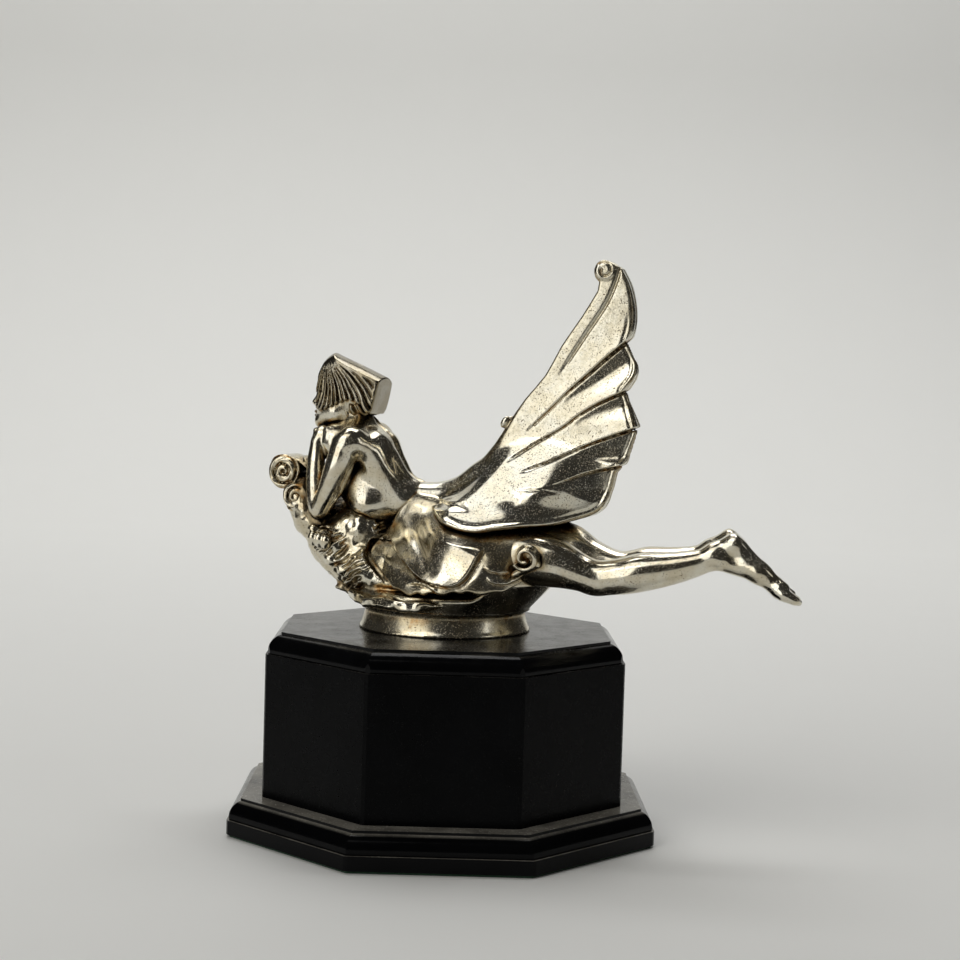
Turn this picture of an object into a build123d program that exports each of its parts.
"""Car mascot of a winged nymph, clamped to an octagonal display plinth.

Row frame in millimetres: +Z up, origin at the centre of the plinth's underside.
The plinth is square to X and Y. The mascot has a frame of its own, with its origin on
the plinth's top face at the collar's centre and the head towards -X. It is clamped
turned by MASCOT_TURN, so the legs come forward over a corner of the plinth.
"""
import os
from math import cos, radians, sin, sqrt, tan

from build123d import *

# ---- driving dimensions: the plinth ----
DRUM_APOTHEM = 55.0        # half the drum's width across flats
FOOT_APOTHEM = 65.2        # half the foot's width across flats
FOOT_TOP_APOTHEM = 61.1    # where the foot's moulding meets its flat top
TOP_APOTHEM = 50.4         # where the top board's moulding meets its flat top
BAIZE_THICK = 0.8
FOOT_SIDE_TOP = 5.1        # height of the foot's plain side
FOOT_TOP = 11.6
DRUM_TOP = 55.6
PLINTH_TOP = 62.25
MOULD_FILLET = 0.8         # small flat step outside each ovolo
MOULD_QUIRK = 0.8          # small upright step inside each ovolo
STAVE_THICK = 9.0
ARRIS = 0.25               # softened corner of the joinery

# ---- driving dimensions: the fixing ----
STUD_RADIUS = 4.0
STUD_IN_BOSS = 5.0
PRESSURE_BLOCK_THICK = 10.0
PRESSURE_BLOCK_RADIUS = 30.0
WASHER_RADIUS = 11.0
WASHER_THICK = 1.6
LOCK_WASHER_RADIUS = 7.4
LOCK_WASHER_THICK = 2.0
NUT_ACROSS_FLATS = 13.0
NUT_HEIGHT = 6.5
STUD_SPARE = 4.0           # stud left showing below the nut
SCREW_CENTRE = 38.0        # foot screws from the axis, along X and Y
SCREW_HEAD_RADIUS = 4.0
SCREW_SHANK_RADIUS = 1.9
SCREW_LENGTH = 22.0
GLUE_BLOCK = 12.0          # side of a square glue block
GLUE_BLOCK_HEIGHT = 20.0

# ---- driving dimensions: the mascot ----
MASCOT_TURN = -18.0        # degrees about +Z
COLLAR_FOOT_RADIUS = 26.6
COLLAR_NECK_RADIUS = 24.8
COLLAR_HEIGHT = 6.6
COLLAR_BORE = 20.0
CORE_RADIUS = 9.0          # the casting's hollow core
CORE_TOP = 15.0
WING_THICK = 3.4
WING_GAP = 0.5             # between the closed pair

MASCOT = Location((0, 0, PLINTH_TOP), (0, 0, MASCOT_TURN))
HALF_CORNER = tan(radians(22.5))
CORNER = 1 / cos(radians(22.5))


def octagon(apothem):
    """A regular octagon with flats square to X and Y."""
    return RegularPolygon(apothem, 8, major_radius=False, rotation=22.5)


def prism(apothem, low, high):
    return extrude(Pos(0, 0, low) * octagon(apothem), high - low)


def rounding(apothem):
    """A tall round bar that takes the arris off an octagon's corners."""
    return Cylinder(apothem * CORNER - ARRIS, 400)


def moulded_board(side, ovolo, inner, low, side_top, high):
    """An octagonal board edged with a plain side, a fillet, an ovolo and a quirk.

    side, ovolo and inner are the apothems of the plain side, the ovolo's foot and the
    flat top. With side_top equal to low the board has no plain side.
    """
    crest = high - MOULD_QUIRK
    if side_top > low:
        outline = Polyline((0, low), (side, low), (side, side_top), (ovolo, side_top))
    else:
        outline = Line((0, low), (ovolo, low))
    ovolo_arc = ThreePointArc(
        (ovolo, side_top),
        (inner + (ovolo - inner) * 0.74, side_top + (crest - side_top) * 0.70), (inner, crest))
    rest = Polyline((inner, crest), (inner, high), (0, high), (0, low))
    section = Plane.XZ * make_face([*outline.edges(), *ovolo_arc.edges(), *rest.edges()])
    reach = side * 1.2
    # One eighth of the board: the section pushed along its own flat, cut to a wedge.
    triangle = make_face(Polyline(
        (0, 0), (reach, -reach * HALF_CORNER), (reach, reach * HALF_CORNER), (0, 0)))
    wedge = extrude(Pos(0, 0, low) * triangle, high - low)
    eighth = extrude(section, reach, both=True) & wedge
    board = eighth
    for turn in range(1, 8):
        board += Rot(0, 0, 45 * turn) * eighth
    return board.clean() & rounding(side if side_top > low else ovolo)


def make_plinth():
    """Baize, foot board, eight mitred staves, top board and the wooden blocks inside."""
    parts = {}
    parts["baize_pad"] = prism(FOOT_APOTHEM - 1.0, 0, BAIZE_THICK)
    foot = moulded_board(FOOT_APOTHEM, FOOT_APOTHEM - MOULD_FILLET, FOOT_TOP_APOTHEM,
                         BAIZE_THICK, FOOT_SIDE_TOP, FOOT_TOP)
    top = moulded_board(DRUM_APOTHEM, DRUM_APOTHEM - MOULD_FILLET, TOP_APOTHEM,
                        DRUM_TOP, DRUM_TOP, PLINTH_TOP)
    top -= Cylinder(STUD_RADIUS + 0.4, 40).moved(Pos(0, 0, PLINTH_TOP))
    inside = DRUM_APOTHEM - STAVE_THICK
    for i in range(8):
        outline = Polyline(
            (inside, -inside * HALF_CORNER), (DRUM_APOTHEM, -DRUM_APOTHEM * HALF_CORNER),
            (DRUM_APOTHEM, DRUM_APOTHEM * HALF_CORNER), (inside, inside * HALF_CORNER),
            (inside, -inside * HALF_CORNER))
        stave = extrude(Pos(0, 0, FOOT_TOP) * make_face(outline), DRUM_TOP - FOOT_TOP)
        parts[f"stave_{i + 1}"] = Rot(0, 0, 45 * i) * (stave & rounding(DRUM_APOTHEM))
    block_low = DRUM_TOP - PRESSURE_BLOCK_THICK
    block = Cylinder(PRESSURE_BLOCK_RADIUS, PRESSURE_BLOCK_THICK,
                     align=(Align.CENTER, Align.CENTER, Align.MIN)).moved(Pos(0, 0, block_low))
    parts["pressure_block"] = block - Cylinder(STUD_RADIUS + 0.4, 80).moved(Pos(0, 0, DRUM_TOP))
    screws = []
    for i in range(4):
        turn = Rot(0, 0, 90 * i)
        glue = Pos(inside - GLUE_BLOCK / 2, 0, FOOT_TOP) * Box(
            GLUE_BLOCK, GLUE_BLOCK * 1.6, GLUE_BLOCK_HEIGHT,
            align=(Align.CENTER, Align.CENTER, Align.MIN))
        screw = wood_screw().moved(Pos(inside - GLUE_BLOCK / 2, 0, BAIZE_THICK))
        parts[f"glue_block_{i + 1}"] = turn * (glue - screw)
        screws.append(turn * screw)
        foot -= turn * screw
    parts["foot_board"] = foot
    parts["foot_screws"] = Compound(children=screws)
    parts["top_board"] = top
    return parts


def wood_screw():
    """A countersunk wood screw, head down, its head's face at z = 0."""
    head_depth = SCREW_HEAD_RADIUS - SCREW_SHANK_RADIUS
    with BuildSketch(Plane.XZ) as section:
        with BuildLine():
            Polyline((0, 0), (SCREW_HEAD_RADIUS, 0), (SCREW_SHANK_RADIUS, head_depth),
                     (SCREW_SHANK_RADIUS, SCREW_LENGTH - 4), (0, SCREW_LENGTH), (0, 0))
        make_face()
    slot = Box(2 * SCREW_HEAD_RADIUS, 0.9, 1.6)
    return revolve(section.sketch, Axis.Z) - slot


def ring(outer, bore, low, high):
    height = high - low
    up = (Align.CENTER, Align.CENTER, Align.MIN)
    return (Cylinder(outer, height, align=up) - Cylinder(bore, height, align=up)).moved(Pos(0, 0, low))


def make_fixing():
    """The stud, its boss in the collar, and the washers and nut under the top board."""
    block_low = DRUM_TOP - PRESSURE_BLOCK_THICK
    washer_low = block_low - WASHER_THICK
    lock_low = washer_low - LOCK_WASHER_THICK
    nut_low = lock_low - NUT_HEIGHT
    stud_low, stud_high = nut_low - STUD_SPARE, PLINTH_TOP + STUD_IN_BOSS
    up = (Align.CENTER, Align.CENTER, Align.MIN)
    stud = Cylinder(STUD_RADIUS, stud_high - stud_low, align=up)
    stud = chamfer(stud.edges().filter_by(GeomType.CIRCLE), 0.6).moved(Pos(0, 0, stud_low))
    split = Box(LOCK_WASHER_RADIUS, 1.0, LOCK_WASHER_THICK * 3).moved(
        Location((LOCK_WASHER_RADIUS, 0, lock_low), (20, 0, 0)))
    flats = extrude(Pos(0, 0, nut_low) * RegularPolygon(NUT_ACROSS_FLATS / 2, 6, major_radius=False), NUT_HEIGHT)
    corner = NUT_ACROSS_FLATS / sqrt(3)
    dome = Cylinder(corner, NUT_HEIGHT, align=up)
    dome = chamfer(dome.edges().filter_by(GeomType.CIRCLE), 0.55).moved(Pos(0, 0, nut_low))
    nut = (flats & dome) - Cylinder(STUD_RADIUS, 60).moved(Pos(0, 0, nut_low))
    boss = ring(COLLAR_BORE, STUD_RADIUS, PLINTH_TOP + 0.4, PLINTH_TOP + COLLAR_HEIGHT)
    boss += Cylinder(STUD_RADIUS, COLLAR_HEIGHT - STUD_IN_BOSS, align=up).moved(
        Pos(0, 0, PLINTH_TOP + STUD_IN_BOSS))
    return {
        "mounting_stud": stud,
        "clamp_washer": ring(WASHER_RADIUS, STUD_RADIUS + 0.3, washer_low, block_low),
        "lock_washer": ring(LOCK_WASHER_RADIUS, STUD_RADIUS + 0.3, lock_low, washer_low) - split,
        "mounting_nut": nut,
        "stud_boss": boss,
    }


def ball(centre, radius):
    return Pos(*centre) * Sphere(radius)


def egg(centre, radii, turn=(0, 0, 0)):
    """An ellipsoid."""
    return Location(centre, turn) * scale(Sphere(1.0), by=radii)


def rod(a, b, ra, rb):
    """A cone frustum between two points."""
    a, b = Vector(*a), Vector(*b)
    axis = b - a
    plane = Plane(origin=a, z_dir=axis)
    if abs(ra - rb) < 0.01:
        return Solid.make_cylinder(ra, axis.length, plane)
    return Solid.make_cone(ra, rb, axis.length, plane)


def limb(points):
    """Round-ended tapering limb through (x, y, z, radius) points."""
    shape = ball(points[0][:3], points[0][3])
    for (*a, ra), (*b, rb) in zip(points, points[1:]):
        # The frustum meets each ball where its own cone is tangent to it.
        a_v, b_v = Vector(*a), Vector(*b)
        span = (b_v - a_v).length
        lean = (ra - rb) / span
        square = sqrt(1 - lean * lean)
        along = (b_v - a_v) / span
        start, end = a_v + along * (ra * lean), b_v + along * (rb * lean)
        shape += rod(tuple(start), tuple(end), ra * square, rb * square)
        shape += ball(b, rb)
    return shape


def skin(sections):
    """A loft through ellipses: (centre, half width along Y, half height, lean in degrees about Y)."""
    faces = []
    for centre, half_y, half_up, lean in sections:
        plane = Plane(origin=centre, x_dir=(0, 1, 0),
                      z_dir=(cos(radians(lean)), 0, sin(radians(lean))))
        faces.append(plane * Ellipse(half_y, half_up))
    return loft(faces)


def make_collar():
    """The turned collar that stands on a radiator cap, or here on the plinth."""
    with BuildSketch(Plane.XZ) as section:
        with BuildLine():
            Line((COLLAR_BORE, 0), (COLLAR_FOOT_RADIUS, 0))
            Line((COLLAR_FOOT_RADIUS, 0), (COLLAR_FOOT_RADIUS - 0.2, 1.2))
            ThreePointArc((COLLAR_FOOT_RADIUS - 0.2, 1.2), (COLLAR_NECK_RADIUS, 4.0),
                          (COLLAR_NECK_RADIUS + 0.6, COLLAR_HEIGHT))
            Line((COLLAR_NECK_RADIUS + 0.6, COLLAR_HEIGHT), (COLLAR_BORE, COLLAR_HEIGHT))
            Line((COLLAR_BORE, COLLAR_HEIGHT), (COLLAR_BORE, 0))
        make_face()
    return revolve(section.sketch, Axis.Z)


def make_rock():
    """The rocky mass: a bowl on the collar, a saddle under the body and a prow."""
    bowl = loft([
        Pos(0, 0, COLLAR_HEIGHT) * Circle(COLLAR_NECK_RADIUS + 0.6),
        Pos(0.5, 0, 11.0) * Ellipse(29.0, 24.5),
        Pos(0, 0, 17.0) * Ellipse(35.0, 23.0)])
    saddle = egg((-14, 0, 17), (20, 17, 11))
    prow = skin([
        ((-16, 0, 16), 17, 8, 150), ((-30, 0, 20), 15, 9, 140),
        ((-42, 0, 30), 11, 7, 130), ((-50, 0, 39), 8, 4.5, 125)])
    core = Cylinder(CORE_RADIUS, CORE_TOP - COLLAR_HEIGHT,
                    align=(Align.CENTER, Align.CENTER, Align.MIN)).moved(Pos(0, 0, COLLAR_HEIGHT))
    under = Box(200, 200, 20, align=(Align.CENTER, Align.CENTER, Align.MAX))
    return bowl + saddle + prow - core - under.moved(Pos(0, 0, COLLAR_HEIGHT))


def make_scrolls():
    """The volute at the prow's head, with its lesser volute below."""
    across = Rot(90, 0, 0)
    great = Pos(-54.2, 0, 47.6) * across * Cylinder(5.6, 13)
    lesser = Pos(-49.5, 0, 39.5) * across * Cylinder(4.8, 14)
    stem = Pos(-48.5, 0, 48.0) * Rot(0, -8, 0) * Box(10, 11, 5)
    return great + lesser + stem


def wing_outline():
    """A wing's outline seen from the side, in X and Z: five leaves between root and tip."""
    leading = [(-3.5, 45.0), (8.3, 52.2), (19.0, 66.0), (30.5, 81.5), (45.2, 106.5)]
    notches = [(56.6, 90.9), (56.2, 76.6), (54.0, 51.7), (42.7, 35.5)]
    return make_face([
        *Polyline((-2.0, 33.5), *leading).edges(),
        ThreePointArc(leading[-1], (44.6, 113.6), (47.2, 116.2)),
        ThreePointArc((47.2, 116.2), (57.3, 106.0), notches[0]),
        ThreePointArc(notches[0], (59.1, 83.6), notches[1]),
        ThreePointArc(notches[1], (60.2, 65.0), notches[2]),
        ThreePointArc(notches[2], (51.2, 42.0), notches[3]),
        Line(notches[3], (14.0, 31.5)),
        Line((14.0, 31.5), (-2.0, 33.5)),
    ])


def make_wing(side):
    """One of the closed pair of wings: side is -1 for the nymph's left and 1 for her right."""
    blank = extrude(Plane.XZ * wing_outline(), WING_THICK * -side)
    return Pos(0, side * WING_GAP / 2, 0) * blank


def make_mascot():
    """Every casting of the mascot in its own frame, each cut clear of those before it."""
    rock = make_rock()
    torso = skin([
        ((-8, 0, 34), 11.0, 8.0, 150), ((-15, 0, 41), 10.5, 7.8, 128),
        ((-22, 0, 49), 13.0, 9.0, 118), ((-27, 0, 57), 13.0, 7.5, 110),
        ((-29, 0, 61.5), 7.0, 4.5, 105)])
    drape = skin([
        ((-12, 0, 30), 14, 10, 0), ((0, 0, 28), 19, 12, 0), ((14, 0, 26.5), 21, 12, 0),
        ((28, 0, 26), 17, 9.5, 0), ((36, 0, 26.5), 12, 7.5, 0)])
    legs = {
        "left_leg": limb([
            (22, -9, 25, 8.3), (53, -10.5, 20.8, 5.8), (66, -10, 24, 5.6),
            (88, -8, 29, 3.4), (92, -8, 31.5, 3.6), (101, -8, 24, 3.4), (110, -8, 16.5, 2.2)]),
        "right_leg": limb([
            (22, 8, 27, 8.0), (53, 6, 24, 5.6), (66, 5, 26.5, 5.2),
            (87, 1, 31, 3.2), (91, 0.5, 33, 3.3), (99, 0.5, 26.5, 3.0), (106, 0.5, 20.5, 2.2)]),
    }
    arms = {
        "left_arm": limb([
            (-28.5, -14, 57.5, 4.3), (-35, -13, 46.5, 3.6), (-41, -11, 36.5, 3.1),
            (-42.5, -8.5, 47, 2.9), (-43, -6, 57.5, 2.2), (-41.5, -3, 61, 2.6)]),
        "right_arm": limb([
            (-27, 13.5, 57.5, 4.3), (-32.5, 14, 45, 3.6), (-37, 11.5, 33.5, 3.1),
            (-40, 2, 31, 2.6), (-40.5, -8, 28.5, 3.0)]),
    }
    head = egg((-37.5, 1.5, 72.5), (9.0, 7.2, 11.2), (0, -10, 0)) + limb(
        [(-28, 0, 60.5, 4.8), (-34, 1.0, 68, 4.6)])
    bob = make_face(Polyline(
        (-44, 83.5), (-41.5, 85.8), (-21, 78.2), (-19.8, 75.6), (-25.5, 67.0), (-33, 69),
        (-38, 76), (-44, 83.5)))
    hair = Pos(0, 1.8, 0) * extrude(Plane.XZ * bob, 8.0, both=True)
    hair = chamfer(hair.edges().filter_by(Plane.XZ, reverse=False), 1.5)
    scrolls = make_scrolls()
    curl = Pos(31.5, -21.5, 25.0) * Rot(90, 0, 0) * (Torus(2.3, 0.95) + Cylinder(1.3, 2.2))
    made = {"rock_base": rock}

    def add(name, shape, *clear_of):
        for other in clear_of:
            shape = shape - made[other]
        solids = sorted(shape.solids(), key=lambda s: s.volume)
        made[name] = solids[-1]

    add("prow_scroll", scrolls, "rock_base")
    add("torso", torso, "rock_base")
    add("hip_drape", drape, "rock_base", "torso")
    add("left_leg", legs["left_leg"], "rock_base", "hip_drape")
    add("right_leg", legs["right_leg"], "rock_base", "hip_drape", "left_leg")
    add("hair", hair)
    add("head", head, "hair", "torso")
    add("left_arm", arms["left_arm"], "rock_base", "torso", "head", "prow_scroll")
    add("right_arm", arms["right_arm"], "rock_base", "torso", "left_arm", "prow_scroll", "head")
    add("left_wing", make_wing(-1), "hip_drape", "torso", "rock_base", "left_leg", "right_leg")
    add("right_wing", make_wing(1), "hip_drape", "torso", "rock_base", "right_leg", "left_wing", "left_leg")
    add("drape_curl", curl, "hip_drape", "left_leg", "rock_base")
    made["collar"] = make_collar()
    return {name: MASCOT * shape for name, shape in made.items()}


def main():
    os.makedirs("parts", exist_ok=True)
    for name, shape in {**make_plinth(), **make_fixing(), **make_mascot()}.items():
        export_step(shape, f"parts/{name}.step")


main()
